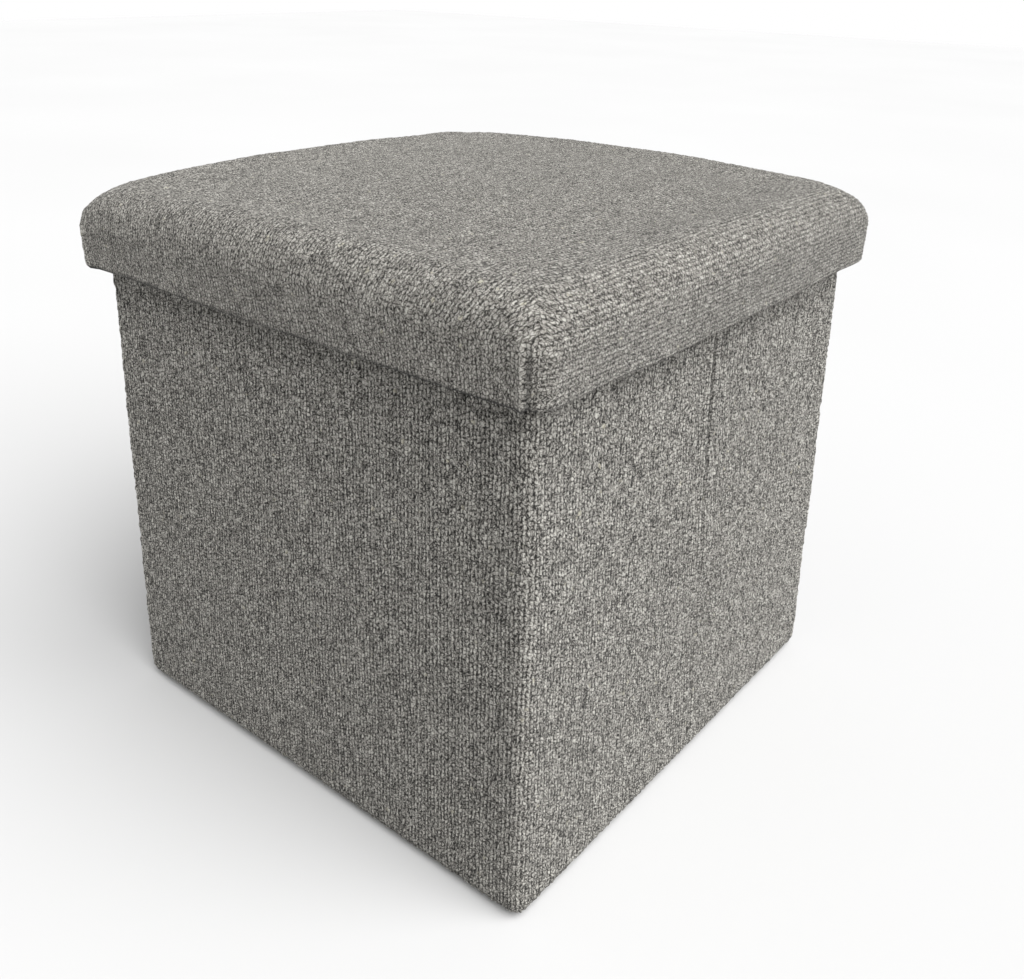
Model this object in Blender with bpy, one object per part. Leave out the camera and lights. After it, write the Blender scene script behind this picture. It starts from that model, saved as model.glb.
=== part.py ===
"""Folding storage ottoman: a cloth-covered cube of hinged boards with a padded lid that lifts off.

The body has six wall leaves: a front and a back in one piece, and two sides split down their
middle. The cover cloth joins them. The side leaves fold inwards, and the back comes up against
the front. A board lies loose in the bottom, joined to the front by a tape. The lid is a shallow
board tray under foam, whose rim hangs outside the walls.

Metres, +Z up, -Y is the front. The origin is the middle of the underside, on the floor.
"""

import math

import bmesh
import bpy
from mathutils import Matrix

# Body
BODY_WIDTH = 0.357  # left to right, over the cover cloth
BODY_DEPTH = 0.357  # front to back, over the cover cloth
BODY_TOP = 0.338  # top edge of the walls above the floor
COVER_CLOTH = 0.0020  # the thick looped cloth outside
LINING_CLOTH = 0.0008  # the thin cloth inside
WALL_BOARD = 0.0050
FIT_GAP = 0.0003  # between pieces that touch
TURN_OVER = 0.015  # cover cloth turned over the top edge and down inside
CORNER_RADIUS = 0.0075  # upright corners, outside
CORNER_STEPS = 6

# Bottom
HEM_HEIGHT = 0.0070  # soft hem that the walls stand above
HEM_ROUND = 0.0050  # rounding of its lower outer edge
BOTTOM_CLOTH = 0.0010
BASE_BOARD = 0.0030
BASE_CLOTH = 0.0005
BASE_SIDE_CLEARANCE = 0.0010
BASE_REAR_CLEARANCE = 0.0075  # it swings up in front of the lid's underside
TAPE_THICKNESS = 0.0008
TAPE_WIDTH = 0.014
TAPE_END_MARGIN = 0.020  # from each side of the base board
HINGE_OFFSET = 0.0015  # base board's fold line behind the front wall
TAB_WIDTH = 0.025
TAB_LENGTH = 0.050
TAB_THICKNESS = 0.0008
TAB_EDGE = 0.004  # from the base board's rear edge

# Folding
CREASE_GAP = 0.0003  # between the two leaves of a side
FOLD_CLEARANCE = 0.0005  # between a folded side leaf and the raised base board
CREASE_PROUD = 0.0003  # the crease's fold line outside the cover cloth

# Lid
TOTAL_HEIGHT = 0.380
LID_OVERHANG = 0.014  # lid outside the body on each side
LID_CLEARANCE = 0.0026  # between the walls and the lining of the rim
SKIRT_DEPTH = 0.0190  # rim below the top edge of the walls
LID_BOARD = 0.0060
LID_CORNER_RADIUS = 0.010
LIP_RADIUS = 0.0030  # rounding of the rim's lower edge
SHOULDER_WIDTH = 0.028
SHOULDER_HEIGHT = 0.030
CROWN = 0.005  # middle of the top above its shoulders
SHOULDER_STEPS = 7
CROWN_STEPS = 4
CROWN_SHARE = 0.80  # how far in from the shoulders the crown rises, as a share of the way
CORNER_GROWTH = 0.5  # how fast the corners grow rounder over the shoulder
ROUNDEST_RING = 0.5  # largest corner radius of a ring on the top, as a share of its half width

# Worked out from the sizes above
wall = COVER_CLOTH + FIT_GAP + WALL_BOARD + FIT_GAP + LINING_CLOTH
half_width = BODY_WIDTH / 2
half_depth = BODY_DEPTH / 2
inner_half_width = half_width - wall
inner_half_depth = half_depth - wall
wall_foot = HEM_HEIGHT + FIT_GAP
base_foot = BOTTOM_CLOTH + FIT_GAP
base_thickness = BASE_BOARD + FIT_GAP + BASE_CLOTH
base_top = base_foot + base_thickness
base_front = -inner_half_depth + HINGE_OFFSET
base_rear = inner_half_depth - BASE_REAR_CLEARANCE
base_half_width = inner_half_width - BASE_SIDE_CLEARANCE
corner_offset = HINGE_OFFSET + base_thickness + FOLD_CLEARANCE  # corner fold line behind the wall
lid_half_width = half_width + LID_OVERHANG
lid_half_depth = half_depth + LID_OVERHANG
lid_foot = BODY_TOP - SKIRT_DEPTH
rim_foot = lid_foot + COVER_CLOTH + FIT_GAP
lining_top = BODY_TOP + FIT_GAP + LINING_CLOTH
lid_board_foot = lining_top + FIT_GAP
lid_board_top = lid_board_foot + LID_BOARD
under_cover = COVER_CLOTH + FIT_GAP
rim_inner = LID_CLEARANCE + LINING_CLOTH + FIT_GAP  # rim's inner face outside the body
rim_thickness = LID_OVERHANG - rim_inner - under_cover
lid_corner = min(LID_CORNER_RADIUS, under_cover + rim_thickness - FIT_GAP)
shoulder_foot = TOTAL_HEIGHT - CROWN - SHOULDER_HEIGHT
PAST = 0.01  # how far a cutter runs past what it cuts

QUARTER = math.pi / 2


def clear_scene():
    for obj in list(bpy.data.objects):
        bpy.data.objects.remove(obj, do_unlink=True)


def new_collection(name):
    collection = bpy.data.collections.new(name)
    bpy.context.scene.collection.children.link(collection)
    return collection


clear_scene()
PARTS = new_collection("storage_ottoman")
CUTTERS = new_collection("cutters")


def material(name, colour, roughness):
    made = bpy.data.materials.new(name)
    made.use_nodes = True
    shader = made.node_tree.nodes["Principled BSDF"]
    shader.inputs["Base Color"].default_value = (*colour, 1.0)
    shader.inputs["Roughness"].default_value = roughness
    shader.inputs["Metallic"].default_value = 0.0
    made.diffuse_color = (*colour, 1.0)
    return made


LOOPED_GREY = material("looped_grey_cloth", (0.29, 0.28, 0.26), 0.95)
BLACK_LINING = material("black_lining", (0.03, 0.03, 0.032), 0.9)
BROWN_BOARD = material("brown_board", (0.33, 0.23, 0.14), 0.8)
PALE_FOAM = material("pale_foam", (0.78, 0.74, 0.62), 0.9)
BLACK_RIBBON = material("black_ribbon", (0.02, 0.02, 0.022), 0.6)


def body_empty(name, place):
    """The place of a moving body: its pieces hang on an empty that stands on the fold line."""
    empty = bpy.data.objects.new(name, None)
    empty.location = place
    PARTS.objects.link(empty)
    return empty


front_body = body_empty("front_body", (0, 0, 0))
corner_y = inner_half_depth - corner_offset
crease_x = half_width + CREASE_PROUD
right_front_body = body_empty("right_front_fold_line", (inner_half_width, -corner_y, 0))
right_rear_body = body_empty("right_middle_fold_line", (crease_x, 0, 0))
left_front_body = body_empty("left_front_fold_line", (-inner_half_width, -corner_y, 0))
left_rear_body = body_empty("left_middle_fold_line", (-crease_x, 0, 0))
back_body = body_empty("right_rear_fold_line", (inner_half_width, corner_y, 0))
base_body = body_empty("base_fold_line", (0, base_front, base_top))
lid_body = body_empty("lid_place", (0, 0, 0))


def object_from(bm, name, collection):
    """Makes an object of the bmesh, faces out."""
    bmesh.ops.recalc_face_normals(bm, faces=bm.faces[:])
    mesh = bpy.data.meshes.new(name)
    bm.to_mesh(mesh)
    bm.free()
    made = bpy.data.objects.new(name, mesh)
    collection.objects.link(made)
    return made


def piece(bm, name, body, surface, turn=0.0):
    """A named solid, turned about the middle of the ottoman and hung on its body."""
    bm.transform(Matrix.Rotation(turn, 4, "Z"))
    made = object_from(bm, name, PARTS)
    made.parent = body
    made.location = -body.location
    made.data.materials.append(surface)
    made.data.shade_smooth()
    made.data.set_sharp_from_angle(angle=math.radians(35))
    return made


def box(low, high, radius=0.0, rounded_y=-1):
    """A box. With a radius, the two upright edges on its rounded_y side are rounded."""
    bm = bmesh.new()
    bmesh.ops.create_cube(bm, size=1.0)
    for vert in bm.verts:
        vert.co = [low[i] + (vert.co[i] + 0.5) * (high[i] - low[i]) for i in range(3)]
    if radius > 0:
        side = low[1] if rounded_y < 0 else high[1]
        upright = [
            edge
            for edge in bm.edges
            if all(abs(vert.co.y - side) < 1e-6 for vert in edge.verts)
            and abs(edge.verts[0].co.z - edge.verts[1].co.z) > 1e-6
        ]
        bmesh.ops.bevel(
            bm,
            geom=upright,
            offset=radius,
            offset_type="OFFSET",
            segments=CORNER_STEPS,
            profile=0.5,
            affect="EDGES",
            clamp_overlap=False,
        )
    return bm


def cut(target, bm, turn=0.0):
    """Takes the bmesh's shape out of the target, with a Boolean modifier that stays."""
    bm.transform(Matrix.Rotation(turn, 4, "Z"))
    cutter = object_from(bm, f"{target.name}_cutter", CUTTERS)
    cutter.hide_render = True
    cutter.display_type = "WIRE"
    boolean = target.modifiers.new("pocket", "BOOLEAN")
    boolean.operation = "DIFFERENCE"
    boolean.solver = "EXACT"
    boolean.object = cutter


def wall_leaf(name, body, turn, half_distance, start, end, wrapped):
    """One leaf of the wall: board, cover cloth and lining.

    It is made as if it were the front, with its outer face at -half_distance along Y, and then
    turned. A wrapped leaf has rounded corners, and its cover goes round both its ends.
    """
    outer, inner = -half_distance, -half_distance + wall
    end_layer = COVER_CLOTH if wrapped else -PAST
    radius = min(CORNER_RADIUS, wall - FIT_GAP) if wrapped else 0.0
    pocket_radius = max(radius - COVER_CLOTH, 0.0)
    lining_outer = inner - LINING_CLOTH
    turned_to = BODY_TOP - TURN_OVER

    cover = piece(
        box((start, outer, wall_foot), (end, inner, BODY_TOP), radius),
        f"{name}_cover",
        body,
        LOOPED_GREY,
        turn,
    )
    pocket_low = (start + end_layer, outer + COVER_CLOTH, wall_foot - PAST)
    pocket_high = (end - end_layer, lining_outer, BODY_TOP - COVER_CLOTH)
    cut(cover, box(pocket_low, pocket_high, pocket_radius), turn)
    window_low = (start + end_layer, lining_outer - FIT_GAP, wall_foot - PAST)
    window_high = (end - end_layer, inner + PAST, turned_to)
    cut(cover, box(window_low, window_high), turn)

    inset = COVER_CLOTH + FIT_GAP if wrapped else 0.0
    board_low = (start + inset, outer + COVER_CLOTH + FIT_GAP, wall_foot)
    board_high = (end - inset, lining_outer - FIT_GAP, BODY_TOP - COVER_CLOTH - FIT_GAP)
    board_radius = max(pocket_radius - FIT_GAP, 0.0)
    piece(box(board_low, board_high, board_radius), f"{name}_board", body, BROWN_BOARD, turn)

    lining_low = (start + inset, lining_outer, wall_foot)
    lining_high = (end - inset, inner, turned_to - FIT_GAP)
    piece(box(lining_low, lining_high), f"{name}_lining", body, BLACK_LINING, turn)


side_far = inner_half_depth - FIT_GAP
side_near = CREASE_GAP / 2
wall_leaf("front", front_body, 0, half_depth, -half_width, half_width, True)
wall_leaf("back", back_body, 2 * QUARTER, half_depth, -half_width, half_width, True)
wall_leaf("right_front", right_front_body, QUARTER, half_width, -side_far, -side_near, False)
wall_leaf("right_rear", right_rear_body, QUARTER, half_width, side_near, side_far, False)
wall_leaf("left_rear", left_rear_body, -QUARTER, half_width, -side_far, -side_near, False)
wall_leaf("left_front", left_front_body, -QUARTER, half_width, side_near, side_far, False)


def rounded_ring(half_x, half_y, radius, z):
    """Points of a rectangle with round corners, anticlockwise."""
    points = []
    for side_x, side_y, start in ((1, 1, 0), (-1, 1, 1), (-1, -1, 2), (1, -1, 3)):
        for step in range(CORNER_STEPS + 1):
            angle = (start + step / CORNER_STEPS) * QUARTER
            x = side_x * (half_x - radius) + radius * math.cos(angle)
            y = side_y * (half_y - radius) + radius * math.sin(angle)
            points.append((x, y, z))
    return points


def loft(rings, closed=False):
    """A skin over rings of as many points each. Its end rings are capped, or joined if closed."""
    bm = bmesh.new()
    rows = [[bm.verts.new(point) for point in ring] for ring in rings]
    following = rows[1:] + rows[:1] if closed else rows[1:]
    for row, after in zip(rows, following):
        for i in range(len(row)):
            j = (i + 1) % len(row)
            bm.faces.new((row[i], row[j], after[j], after[i]))
    if not closed:
        bm.faces.new(rows[0])
        bm.faces.new(rows[-1])
    # Faces round the corners aren't flat, so their diagonals are settled here.
    bmesh.ops.triangulate(bm, faces=bm.faces[:], quad_method="BEAUTY", ngon_method="BEAUTY")
    return bm


def body_ring(inset, z):
    """A ring that follows the body's outline, inset from its outer face."""
    radius = max(CORNER_RADIUS - inset, FIT_GAP)
    return rounded_ring(half_width - inset, half_depth - inset, radius, z)


def hem_rings():
    """The hem's section: a rounded lower outer edge, then up, across and down inside."""
    rings = []
    for step in range(CORNER_STEPS + 1):
        angle = step / CORNER_STEPS * QUARTER
        rings.append(
            body_ring(HEM_ROUND * (1 - math.sin(angle)), HEM_ROUND * (1 - math.cos(angle)))
        )
    rings.append(body_ring(0.0, HEM_HEIGHT))
    rings.append(body_ring(wall, HEM_HEIGHT))
    rings.append(body_ring(wall, 0.0))
    return rings


piece(loft(hem_rings(), closed=True), "bottom_hem", front_body, LOOPED_GREY)
cloth_half_x = inner_half_width - FIT_GAP
cloth_half_y = inner_half_depth - FIT_GAP
piece(
    box((-cloth_half_x, -cloth_half_y, 0.0), (cloth_half_x, cloth_half_y, BOTTOM_CLOTH)),
    "bottom_cloth",
    front_body,
    BLACK_LINING,
)

# Base board: it lies on the bottom cloth under a thin cloth tray that is glued over its edges.
board_inset = BASE_CLOTH + FIT_GAP
piece(
    box(
        (-base_half_width + board_inset, base_front + board_inset, base_foot),
        (base_half_width - board_inset, base_rear - board_inset, base_foot + BASE_BOARD),
    ),
    "base_board",
    base_body,
    BROWN_BOARD,
)
base_cloth = piece(
    box((-base_half_width, base_front, base_foot), (base_half_width, base_rear, base_top)),
    "base_cloth",
    base_body,
    BLACK_LINING,
)
cut(
    base_cloth,
    box(
        (-base_half_width + BASE_CLOTH, base_front + BASE_CLOTH, base_foot - PAST),
        (base_half_width - BASE_CLOTH, base_rear - BASE_CLOTH, base_top - BASE_CLOTH),
    ),
)
on_base = base_top + FIT_GAP
tape_half = base_half_width - TAPE_END_MARGIN
tape_front = -inner_half_depth + FIT_GAP
piece(
    box(
        (-tape_half, tape_front, on_base),
        (tape_half, tape_front + TAPE_WIDTH, on_base + TAPE_THICKNESS),
    ),
    "base_hinge_tape",
    base_body,
    BLACK_RIBBON,
)
piece(
    box(
        (-TAB_WIDTH / 2, base_rear - TAB_EDGE - TAB_LENGTH, on_base),
        (TAB_WIDTH / 2, base_rear - TAB_EDGE, on_base + TAB_THICKNESS),
        TAB_WIDTH / 4,
    ),
    "base_pull_tab",
    base_body,
    BLACK_RIBBON,
)


def shoulder_inset(z, layer):
    """How far the shoulder has come in at height z, on a skin that lies layer below the outer one."""
    rise = max(z - shoulder_foot, 0.0) / (SHOULDER_HEIGHT - layer)
    return layer + (SHOULDER_WIDTH - layer) * (1 - math.sqrt(max(1 - rise * rise, 0.0)))


def lid_ring(inset, layer, z):
    half_x, half_y = lid_half_width - inset, lid_half_depth - inset
    radius = lid_corner - layer + CORNER_GROWTH * (inset - layer)
    return rounded_ring(half_x, half_y, min(radius, ROUNDEST_RING * min(half_x, half_y)), z)


def lid_top(layer, foot):
    """Rings of the lid's rounded top, from foot on its side to near the middle."""
    height = SHOULDER_HEIGHT - layer
    first = math.asin(max(foot - shoulder_foot, 0.0) / height)
    rings = [lid_ring(layer, layer, foot)] if foot < shoulder_foot else []
    for step in range(SHOULDER_STEPS + 1):
        angle = first + (QUARTER - first) * step / SHOULDER_STEPS
        z = shoulder_foot + height * math.sin(angle)
        rings.append(lid_ring(shoulder_inset(z, layer), layer, z))
    across = min(lid_half_width, lid_half_depth) - SHOULDER_WIDTH
    for step in range(1, CROWN_STEPS + 1):
        share = step / CROWN_STEPS
        z = TOTAL_HEIGHT - layer - CROWN * (1 - share) ** 2
        rings.append(lid_ring(SHOULDER_WIDTH + CROWN_SHARE * share * across, layer, z))
    return rings


def lid_cover_rings():
    """The cover's skin: outside from the top down, round the rim's lower edge, then up inside."""
    outside = lid_top(0.0, shoulder_foot)
    rings = outside[::-1]
    for step in range(CORNER_STEPS + 1):
        angle = step / CORNER_STEPS * QUARTER
        inset = LIP_RADIUS * (1 - math.cos(angle))
        rings.append(lid_ring(inset, inset, lid_foot + LIP_RADIUS * (1 - math.sin(angle))))
    turned_in = LID_OVERHANG - LID_CLEARANCE
    rings.append(turned_in_ring(turned_in, lid_foot))
    rings.append(turned_in_ring(turned_in, lid_foot + COVER_CLOTH))
    rings.append(lid_ring(COVER_CLOTH, COVER_CLOTH, lid_foot + COVER_CLOTH))
    return rings + lid_top(COVER_CLOTH, shoulder_foot)


def turned_in_ring(inset, z):
    """The cloth's edge under the rim, with its corners folded nearly square."""
    return rounded_ring(lid_half_width - inset, lid_half_depth - inset, FIT_GAP, z)


piece(loft(lid_cover_rings()), "lid_cover", lid_body, LOOPED_GREY)
foam_foot = lid_board_top + FIT_GAP
piece(loft(lid_top(under_cover, foam_foot)), "lid_foam", lid_body, PALE_FOAM)

# Lid tray: a board on four rim strips. The front and rear strips run the whole width.
tray_inset = shoulder_inset(lid_board_top, under_cover)
tray_radius = lid_corner - under_cover
tray_x = lid_half_width - tray_inset
tray_y = lid_half_depth - tray_inset
piece(
    loft([rounded_ring(tray_x, tray_y, tray_radius, z) for z in (lid_board_foot, lid_board_top)]),
    "lid_board",
    lid_body,
    BROWN_BOARD,
)
rim_x = lid_half_width - under_cover
rim_y = lid_half_depth - under_cover
rim_top = lid_board_foot - FIT_GAP
for name, turn in (("front", 0), ("back", 2 * QUARTER)):
    low = (-rim_x, -rim_y, rim_foot)
    high = (rim_x, -rim_y + rim_thickness, rim_top)
    piece(box(low, high, tray_radius), f"lid_rim_{name}", lid_body, BROWN_BOARD, turn)
side_strip_end = rim_y - rim_thickness - FIT_GAP
for name, turn in (("right", QUARTER), ("left", -QUARTER)):
    low = (-side_strip_end, -rim_x, rim_foot)
    high = (side_strip_end, -rim_x + rim_thickness, rim_top)
    piece(box(low, high), f"lid_rim_{name}", lid_body, BROWN_BOARD, turn)

# Lid lining: one tray of thin cloth under the board and down the inside of the rim.
lining_x = half_width + LID_CLEARANCE + LINING_CLOTH
lining_y = half_depth + LID_CLEARANCE + LINING_CLOTH
lid_lining = piece(
    box((-lining_x, -lining_y, rim_foot), (lining_x, lining_y, lining_top)),
    "lid_lining",
    lid_body,
    BLACK_LINING,
)
hollow_x = lining_x - LINING_CLOTH
hollow_y = lining_y - LINING_CLOTH
hollow_top = lining_top - LINING_CLOTH
cut(
    lid_lining,
    box((-hollow_x, -hollow_y, rim_foot - PAST), (hollow_x, hollow_y, hollow_top)),
)
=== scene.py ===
"""Folding storage ottoman in grey looped cloth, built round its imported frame.

Metres, +Z up, -Y is the front. The body is six board leaves in one sewn cover. The side leaves
fold inwards. A padded lid lifts off. Each section below makes one piece, or one group of like
pieces, in the order in which the ottoman is put together.
"""

import math

import bpy
import numpy as np
from mathutils import Matrix, Vector


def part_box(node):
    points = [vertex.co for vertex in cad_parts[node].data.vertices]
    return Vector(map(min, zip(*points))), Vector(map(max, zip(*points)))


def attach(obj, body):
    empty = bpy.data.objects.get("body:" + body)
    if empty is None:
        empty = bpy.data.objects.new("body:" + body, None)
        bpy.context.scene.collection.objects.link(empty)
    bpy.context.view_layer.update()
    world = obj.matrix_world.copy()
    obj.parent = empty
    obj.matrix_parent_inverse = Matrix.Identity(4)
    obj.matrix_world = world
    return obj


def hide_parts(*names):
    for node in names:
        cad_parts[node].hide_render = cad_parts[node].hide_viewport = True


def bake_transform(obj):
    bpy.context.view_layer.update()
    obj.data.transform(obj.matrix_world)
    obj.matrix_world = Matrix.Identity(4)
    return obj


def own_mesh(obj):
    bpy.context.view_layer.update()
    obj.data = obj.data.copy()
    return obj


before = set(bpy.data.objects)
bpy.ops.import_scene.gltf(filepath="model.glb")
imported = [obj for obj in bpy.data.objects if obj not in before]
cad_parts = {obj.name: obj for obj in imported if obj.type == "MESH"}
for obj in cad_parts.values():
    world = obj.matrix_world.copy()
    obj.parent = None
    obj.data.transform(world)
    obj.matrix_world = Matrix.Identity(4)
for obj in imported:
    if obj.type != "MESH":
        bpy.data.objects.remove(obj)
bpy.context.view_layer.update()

QUARTER = math.pi / 2
MM = 0.001

# ---- Wall boards ---------------------------------------------------------------------------
# Six leaves of 5 mm wood-fibre board carry the walls. They are sawn, not coated: brown felted
# fibre with a darker, rougher cut edge. The cover is glued round them, so they stay as made.

LEAVES = ("front", "right_front", "right_rear", "back", "left_rear", "left_front")


class Field:
    """A value, vector or colour that varies over a surface. Arithmetic on it adds the nodes."""

    def __init__(self, finish, socket):
        self.finish = finish
        self.socket = socket

    def _worked(self, operation, first, second):
        kind = "Math" if self.socket.type == "VALUE" else "VectorMath"
        return self.finish.node(kind, {"operation": operation}, {0: first, 1: second})

    def __add__(self, other):
        return self._worked("ADD", self, other)

    def __radd__(self, other):
        return self._worked("ADD", other, self)

    def __sub__(self, other):
        return self._worked("SUBTRACT", self, other)

    def __rsub__(self, other):
        return self._worked("SUBTRACT", other, self)

    def __mul__(self, other):
        return self._worked("MULTIPLY", self, other)

    def __rmul__(self, other):
        return self._worked("MULTIPLY", other, self)

    def rise(self, low, high):
        """0 below low, 1 above high, and smooth between."""
        return self.finish.node(
            "MapRange",
            {"interpolation_type": "SMOOTHSTEP"},
            {"Value": self, "From Min": low, "From Max": high},
        )


class Finish:
    """A material: one Principled shader and the nodes that feed it."""

    def __init__(self, name, **fixed):
        self.material = bpy.data.materials.new(name)
        self.material.use_nodes = True
        self.tree = self.material.node_tree
        self.shader = self.tree.nodes["Principled BSDF"]
        for socket, value in fixed.items():
            self.shader.inputs[socket.replace("_", " ")].default_value = value

    def node(self, kind, settings=None, inputs=None, output=0):
        """Adds a node, with its settings first and then its sockets. Gives one of its outputs."""
        made = self.tree.nodes.new("ShaderNode" + kind)
        for setting, value in (settings or {}).items():
            setattr(made, setting, value)
        for socket, value in (inputs or {}).items():
            self._feed(made.inputs[socket], value)
        return Field(self, made.outputs[output])

    def _feed(self, socket, value):
        if isinstance(value, Field):
            self.tree.links.new(value.socket, socket)
        elif socket.type == "RGBA":
            socket.default_value = (*value, 1.0)
        else:
            socket.default_value = value

    def mix(self, share, first, second):
        """The first colour where share is 0, and the second where it is 1."""
        settings = {"data_type": "RGBA", "clamp_factor": True}
        return self.node("Mix", settings, {0: share, 6: first, 7: second}, output=2)

    def where(self):
        """The place on the piece, in millimetres."""
        return self.node("TexCoord", output="Object") * (1000, 1000, 1000)

    def carried(self, name, output="Fac"):
        """What the mesh carries under this name."""
        return self.node("Attribute", {"attribute_name": name}, output=output)

    def noise(self, place, size, detail=2.0, roughness=0.5):
        """Clouds about size millimetres across, from 0 to 1."""
        inputs = {"Vector": place, "Scale": 1 / size, "Detail": detail, "Roughness": roughness}
        return self.node("TexNoise", {"noise_dimensions": "3D"}, inputs)

    def cells(self, place, size, output="Distance", randomness=1.0):
        """Round cells about size millimetres across: the distance to the middle, or a colour."""
        inputs = {"Vector": place, "Scale": 1 / size, "Randomness": randomness}
        settings = {"voronoi_dimensions": "3D", "feature": "F1"}
        return self.node("TexVoronoi", settings, inputs, output=output)

    def look(self, colour=None, roughness=None, height=None, depth=0.3):
        """Feeds the shader. depth is the height's reach in millimetres."""
        if colour is not None:
            self._feed(self.shader.inputs["Base Color"], colour)
        if roughness is not None:
            self._feed(self.shader.inputs["Roughness"], roughness)
        if height is not None:
            inputs = {"Height": height, "Distance": depth * MM, "Strength": 1.0}
            self._feed(self.shader.inputs["Normal"], self.node("Bump", inputs=inputs))
        return self.material


def fibre_board():
    board = Finish("brown_fibre_board", Roughness=0.8, Specular_IOR_Level=0.3)
    place = board.where()
    felt = board.noise(place * (1.0, 1.0, 0.25), 1.4, detail=4.0, roughness=0.65)
    flecks = board.cells(place * (1.0, 1.0, 0.4), 2.2).rise(0.0, 0.35)
    clouds = board.noise(place, 45.0, detail=3.0)
    colour = board.mix(felt, (0.20, 0.125, 0.070), (0.40, 0.285, 0.180))
    colour = board.mix((1 - flecks) * 0.5, colour, (0.13, 0.080, 0.045))
    colour = board.mix(clouds.rise(0.35, 0.75) * 0.35, colour, (0.31, 0.225, 0.145))
    return board.look(colour, 0.68 + felt * 0.25, felt + flecks * 0.3, depth=0.12)


fibre_board_finish = fibre_board()


def keep_board(name):
    """The board stays as made in the frame, with its finish."""
    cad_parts[name].material_slots[0].material = fibre_board_finish


for leaf in LEAVES:
    keep_board(f"{leaf}_board")

# ---- Cover of the walls --------------------------------------------------------------------
# A sleeve of thick grey looped knit, sewn closed at the rear left corner. It is glued round the
# boards, turned over their top edges and down inside, and it is the hinge at every fold line.
# Its upright ribs are rows of soft loops, pale and dark yarn plied together.

hem_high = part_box("bottom_hem")[1]
front_low, front_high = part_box("front_cover")
half_wide, half_deep = hem_high[0], hem_high[1]
wall_top, wall_foot = front_high[2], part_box("front_board")[0][2]
wall = front_high[1] - front_low[1]
CLOTH_BACK = 0.0002  # mean face of the cloth inside the frame's outer face
BODY_CORNER = 0.0090
FOOT_ROUND = 0.012
TOP_ROUND = 0.0025
TURN_OVER = 0.015  # how far it comes down inside the wall
RIB = 0.00265  # from one rib to the next
ROW = 0.0016  # from one loop to the next, up the cloth
RIDGE, RIDGE_SPREAD = 0.00032, 0.00032  # how far the loops stand out of the mean face
GROOVE, GROOVE_SPREAD = -0.00042, 0.00022
RIDGE_PALE, GROOVE_PALE, LOOP_PALE_SPREAD = 0.72, 0.06, 0.20
RIB_SWAY = 0.00030  # how far a rib strays sideways
LOOP_SHIFT = 0.0004  # how far a loop strays along its rib


def cloud(shape, reach, seed):
    """Smooth random numbers on a grid that repeats at its edges, of mean 0 and spread 1."""
    field = np.fft.fft2(np.random.default_rng(seed).standard_normal(shape))
    for axis in (0, 1):
        turns = np.fft.fftfreq(shape[axis]) * reach[axis]
        keep = np.exp(-2 * (math.pi * turns) ** 2)
        field *= keep[:, None] if axis == 0 else keep[None, :]
    field = np.real(np.fft.ifft2(field))
    return (field - field.mean()) / field.std()


def loops_of(shape, first_column, seed):
    """How far each point of the knit stands out, how far it sits along and across, how pale it is.

    Odd columns are ridges, which carry the loops. Even columns are the grooves between them.
    """
    ridge = (np.arange(shape[1]) + first_column) % 2 == 1
    loose = cloud(shape, (0.6, 0.35), seed)
    tight = cloud(shape, (1.3, 0.7), seed + 1)
    high = RIDGE + RIDGE_SPREAD * np.clip(0.95 * loose + 0.2 * tight, -1.6, 1.8)
    low = GROOVE + GROOVE_SPREAD * np.clip(0.2 * tight + 0.95 * loose, -1.0, 2.4)
    out = np.where(ridge[None, :], high, low)
    long_sway, short_sway = cloud(shape, (5, 1.5), seed + 2), cloud(shape, (1, 1), seed + 3)
    across = RIB_SWAY * (0.75 * long_sway + 0.5 * short_sway)
    along = LOOP_SHIFT * cloud(shape, (0.8, 0.4), seed + 4)
    pale = np.where(ridge[None, :], RIDGE_PALE, GROOVE_PALE)
    pale = pale + LOOP_PALE_SPREAD * cloud(shape, (0.45, 0.3), seed + 5)
    return out, along, across, np.clip(pale + 0.05 * loose, 0, 1)


def walk(points, step):
    """Points at even steps along a line, with its length up to each."""
    points = np.asarray(points, float)
    lengths = np.r_[0, np.cumsum(np.linalg.norm(np.diff(points, axis=0), axis=1))]
    count = max(int(round(lengths[-1] / step)), 1)
    at = np.linspace(0, lengths[-1], count + 1)
    return np.stack([np.interp(at, lengths, points[:, i]) for i in range(2)], 1), at


def arc(centre, radius, start, end, steps=12):
    """Points on an arc in a section: angles in quarter turns from outward, anticlockwise."""
    angles = np.linspace(start, end, steps) * QUARTER
    return [(centre[0] + radius * math.cos(a), centre[1] + radius * math.sin(a)) for a in angles]


def section_normals(section):
    """Unit vectors to the outer side of a section that runs upwards on its outer face."""
    along = np.gradient(section, axis=0)
    normals = np.stack([along[:, 1], -along[:, 0]], 1)
    return normals / np.linalg.norm(normals, axis=1, keepdims=True)


straight_wide = 2 * (half_wide - CLOTH_BACK - BODY_CORNER)
straight_deep = 2 * (half_deep - CLOTH_BACK - BODY_CORNER)
corner_length = QUARTER * BODY_CORNER
side_start = straight_wide / 2 + corner_length
around = 2 * (straight_wide + straight_deep) + 4 * corner_length
columns = 2 * int(round(around / RIB))
column_step = around / columns


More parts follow.
